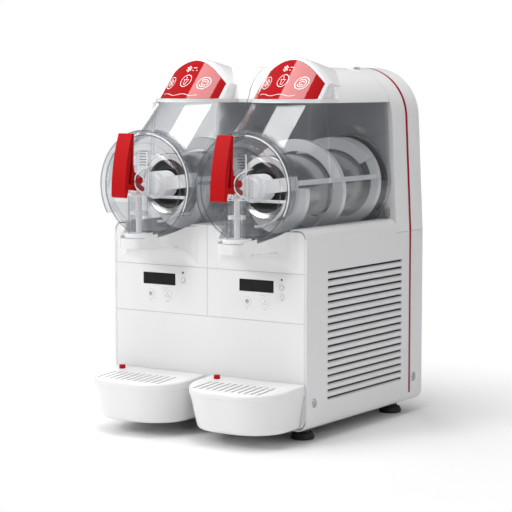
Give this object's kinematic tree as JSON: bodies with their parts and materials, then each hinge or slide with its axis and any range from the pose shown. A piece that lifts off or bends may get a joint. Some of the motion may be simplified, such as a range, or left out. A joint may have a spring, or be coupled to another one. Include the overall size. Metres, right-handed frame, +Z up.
{
  "type": "slushie machine",
  "caption": "Counter-top slushie machine: clear bowls with scraper augers, pull levers, hinged lids with signs, drip trays and a louvred white casing.",
  "frame": {"origin": "bottom centre of the bounding box, on the counter under the feet", "axes": "+Z up, -Y towards the front with the taps, +X to the right seen from the front"},
  "size_m": [0.3906, 0.5286, 0.6242],
  "materials": {
    "white_gloss": "glossy moulded plastic",
    "white_painted_steel": "smooth powder coat",
    "white_tray": "glossy moulded plastic",
    "clear_tank": "clear polycarbonate",
    "white_scraper": "semi-translucent",
    "red_lever": "satin",
    "red_label": "printed film under gloss",
    "red_trim": "gloss",
    "stainless": "turned and polished",
    "galvanised": "galvanised",
    "black_rubber": "matt",
    "black_window": "polished",
    "key_white": "satin film",
    "grey_plastic": "satin",
    "fan_plastic": "satin",
    "motor_steel": "satin enamel",
    "fin_aluminium": "fins",
    "copper_tube": "drawn copper",
    "circuit_board": "solder mask"
  },
  "bodies": {
    "root": {"base_pan": "galvanised", "rubber_feet": "black_rubber", "chassis_frame": "galvanised", "left_side_panel": "white_painted_steel", "right_side_panel": "white_painted_steel", "lower_front_panel": "white_gloss", "left_control_panel": "white_gloss", "right_control_panel": "white_gloss", "left_front_cowl": "white_gloss", "right_front_cowl": "white_gloss", "top_deck": "white_gloss", "rear_panel": "white_painted_steel", "tower_shell": "white_gloss", "tower_rear_cover": "white_gloss", "trim_stripe": "red_trim", "panel_screws": "stainless", "evaporators": "stainless", "bowl_gaskets": "black_rubber", "gearmotors": "motor_steel", "shaft_seals": "black_rubber", "compressor": "motor_steel", "condenser": "fin_aluminium", "fan_shroud": "galvanised", "fan_motor": "motor_steel", "control_boards": "circuit_board", "display_windows": "black_window", "refrigerant_lines": "copper_tube", "power_cord": "black_rubber", "cord_gland": "black_rubber", "bowl_stops": "grey_plastic"},
    "fan_rotor": {"fan_rotor": "fan_plastic"},
    "left_bowl": {"left_bowl": "clear_tank", "left_spout_ring": "white_scraper"},
    "left_tap_lever": {"left_tap_lever": "red_lever"},
    "left_tap_piston": {"left_tap_piston": "white_scraper"},
    "left_auger": {"left_auger": "white_scraper", "left_drive_shaft": "stainless"},
    "left_lid": {"left_lid": "white_gloss", "left_lid_label": "red_label"},
    "left_drip_tray": {"left_drip_tray": "white_tray"},
    "left_drip_grille": {"left_drip_grille": "white_tray"},
    "left_tray_float": {"left_tray_float": "red_lever"},
    "left_chill_key": {"left_chill_key": "key_white"},
    "left_power_key": {"left_power_key": "key_white"},
    "left_speed_key": {"left_speed_key": "key_white"},
    "right_bowl": {"right_bowl": "clear_tank", "right_spout_ring": "white_scraper"},
    "right_tap_lever": {"right_tap_lever": "red_lever"},
    "right_tap_piston": {"right_tap_piston": "white_scraper"},
    "right_auger": {"right_auger": "white_scraper", "right_drive_shaft": "stainless"},
    "right_lid": {"right_lid": "white_gloss", "right_lid_label": "red_label"},
    "right_drip_tray": {"right_drip_tray": "white_tray"},
    "right_drip_grille": {"right_drip_grille": "white_tray"},
    "right_tray_float": {"right_tray_float": "red_lever"},
    "right_chill_key": {"right_chill_key": "key_white"},
    "right_power_key": {"right_power_key": "key_white"},
    "right_speed_key": {"right_speed_key": "key_white"},
    "right_light_key": {"right_light_key": "key_white"}
  },
  "joints": [
    {"name": "fan_spin", "type": "hinge", "parent": "root", "child": "fan_rotor", "pos_m": [0.108, 0.0347, 0.157], "axis": [1, 0, 0], "continuous": true},
    {"name": "auger_left_spin", "type": "hinge", "parent": "root", "child": "left_auger", "pos_m": [-0.0987, 0, 0.412], "axis": [0, 1, 0], "continuous": true},
    {"name": "bowl_left_slide", "type": "slide", "parent": "root", "child": "left_bowl", "axis": [0, -1, 0], "range_m": [0, 0.14]},
    {"name": "dispense_lever_left", "type": "hinge", "parent": "left_bowl", "child": "left_tap_lever", "pos_m": [-0.0987, -0.2303, 0.423], "axis": [1, 0, 0], "range_deg": [0, 35]},
    {"name": "piston_left_lift", "type": "slide", "parent": "left_bowl", "child": "left_tap_piston", "axis": [0, 0, 1], "range_m": [0, 0.0137]},
    {"name": "lid_left_hinge", "type": "hinge", "parent": "root", "child": "left_lid", "pos_m": [-0.0987, 0.1379, 0.6084], "axis": [-1, 0, 0], "range_deg": [0, 75]},
    {"name": "drip_tray_left_slide", "type": "slide", "parent": "root", "child": "left_drip_tray", "axis": [0, -1, 0], "range_m": [0, 0.06]},
    {"name": "grille_left_lift", "type": "slide", "parent": "left_drip_tray", "child": "left_drip_grille", "axis": [0, 0, 1], "range_m": [0, 0.04]},
    {"name": "tray_float_left_rise", "type": "slide", "parent": "left_drip_tray", "child": "left_tray_float", "axis": [0, 0, 1], "range_m": [0, 0.006]},
    {"name": "key_left_chill", "type": "slide", "parent": "root", "child": "left_chill_key", "axis": [0, 1, 0], "range_m": [0, 0.0008]},
    {"name": "key_left_power", "type": "slide", "parent": "root", "child": "left_power_key", "axis": [0, 1, 0], "range_m": [0, 0.0008]},
    {"name": "key_left_speed", "type": "slide", "parent": "root", "child": "left_speed_key", "axis": [0, 1, 0], "range_m": [0, 0.0008]},
    {"name": "auger_right_spin", "type": "hinge", "parent": "root", "child": "right_auger", "pos_m": [0.0987, 0, 0.412], "axis": [0, 1, 0], "continuous": true},
    {"name": "bowl_right_slide", "type": "slide", "parent": "root", "child": "right_bowl", "axis": [0, -1, 0], "range_m": [0, 0.14]},
    {"name": "dispense_lever_right", "type": "hinge", "parent": "right_bowl", "child": "right_tap_lever", "pos_m": [0.0987, -0.2303, 0.423], "axis": [1, 0, 0], "range_deg": [0, 35]},
    {"name": "piston_right_lift", "type": "slide", "parent": "right_bowl", "child": "right_tap_piston", "axis": [0, 0, 1], "range_m": [0, 0.0137]},
    {"name": "lid_right_hinge", "type": "hinge", "parent": "root", "child": "right_lid", "pos_m": [0.0987, 0.1379, 0.6084], "axis": [-1, 0, 0], "range_deg": [0, 75]},
    {"name": "drip_tray_right_slide", "type": "slide", "parent": "root", "child": "right_drip_tray", "axis": [0, -1, 0], "range_m": [0, 0.06]},
    {"name": "grille_right_lift", "type": "slide", "parent": "right_drip_tray", "child": "right_drip_grille", "axis": [0, 0, 1], "range_m": [0, 0.04]},
    {"name": "tray_float_right_rise", "type": "slide", "parent": "right_drip_tray", "child": "right_tray_float", "axis": [0, 0, 1], "range_m": [0, 0.006]},
    {"name": "key_right_chill", "type": "slide", "parent": "root", "child": "right_chill_key", "axis": [0, 1, 0], "range_m": [0, 0.0008]},
    {"name": "key_right_power", "type": "slide", "parent": "root", "child": "right_power_key", "axis": [0, 1, 0], "range_m": [0, 0.0008]},
    {"name": "key_right_speed", "type": "slide", "parent": "root", "child": "right_speed_key", "axis": [0, 1, 0], "range_m": [0, 0.0008]},
    {"name": "key_right_light", "type": "slide", "parent": "root", "child": "right_light_key", "axis": [0, 1, 0], "range_m": [0, 0.0008]}
  ],
  "couplings": [
    {"joint": "piston_left_lift", "follows": "dispense_lever_left", "m_per_rad": 0.0221},
    {"joint": "piston_right_lift", "follows": "dispense_lever_right", "m_per_rad": 0.0221}
  ]
}
